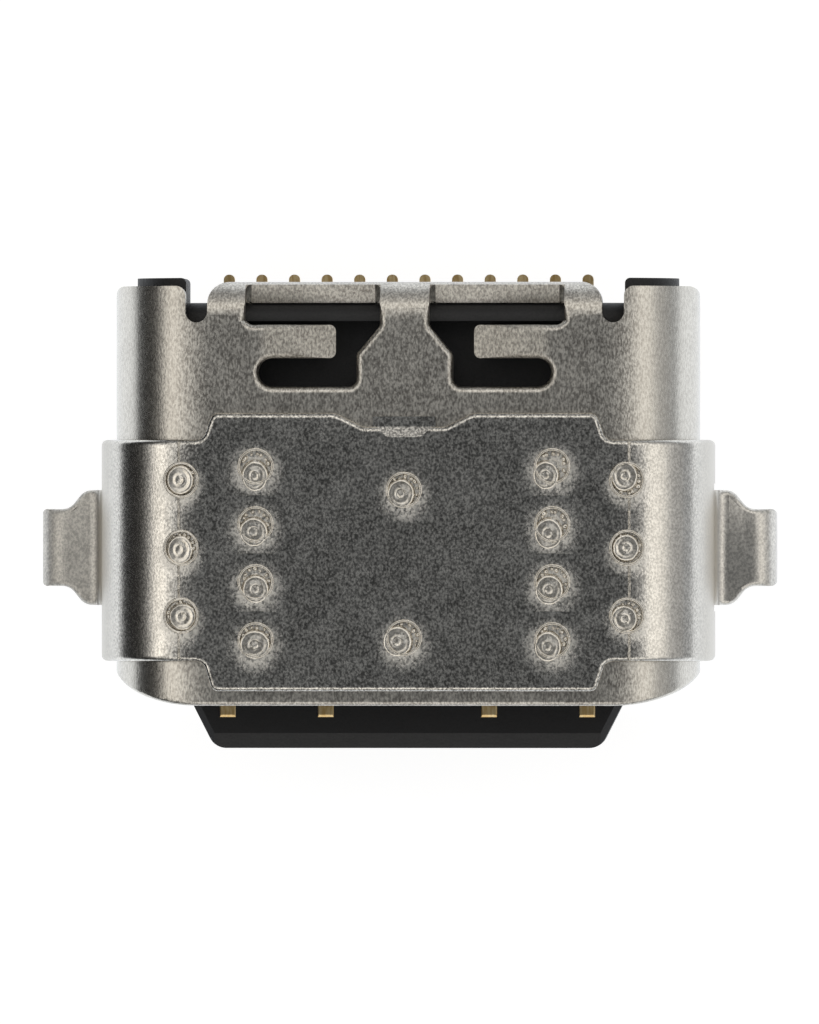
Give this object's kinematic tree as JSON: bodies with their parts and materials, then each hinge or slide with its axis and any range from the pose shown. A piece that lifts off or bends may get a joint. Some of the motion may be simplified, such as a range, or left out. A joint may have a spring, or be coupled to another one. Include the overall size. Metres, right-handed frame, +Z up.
{
  "type": "charging port",
  "caption": "Board-mounted charging port: rolled metal shell with a cover plate and two solder ears, a black tongue with gold contacts, and flat contact tails at the rear.",
  "frame": {"origin": "centre of the bounding box in plan, at the height of the shell's flat underside", "axes": "+X across the plug opening, plug enters from -Y and the contact tails leave at +Y, +Z up, square to the circuit board"},
  "size_m": [0.0112, 0.0072, 0.0034],
  "materials": {
    "nickel_inner_shell": "nickel-plated rolled sheet with fine lengthwise grain",
    "nickel_cover": "nickel-plated stamped sheet, mottled, with coined weld spots",
    "black_lcp": "black moulded liquid-crystal polymer, fine matte",
    "gold_contact": "gold-plated copper alloy strip",
    "steel_middle_plate": "stamped stainless steel, bare",
    "steel_collar": "drawn stainless steel, bare"
  },
  "bodies": {
    "root": {"inner_shell": "nickel_inner_shell", "outer_cover": "nickel_cover", "tongue_moulding": "black_lcp", "upper_contact_carrier": "black_lcp", "lower_contact_carrier": "black_lcp", "middle_plate": "steel_middle_plate", "upper_ground_collar": "steel_collar", "lower_ground_collar": "steel_collar", "upper_contact_01": "gold_contact", "upper_contact_02": "gold_contact", "upper_contact_03": "gold_contact", "upper_contact_04": "gold_contact", "upper_contact_05": "gold_contact", "upper_contact_06": "gold_contact", "upper_contact_07": "gold_contact", "upper_contact_08": "gold_contact", "upper_contact_09": "gold_contact", "upper_contact_10": "gold_contact", "upper_contact_11": "gold_contact", "upper_contact_12": "gold_contact", "lower_contact_01": "gold_contact", "lower_contact_02": "gold_contact", "lower_contact_03": "gold_contact", "lower_contact_04": "gold_contact", "lower_contact_05": "gold_contact", "lower_contact_06": "gold_contact", "lower_contact_07": "gold_contact", "lower_contact_08": "gold_contact", "lower_contact_09": "gold_contact", "lower_contact_10": "gold_contact", "lower_contact_11": "gold_contact", "lower_contact_12": "gold_contact"}
  },
  "joints": []
}
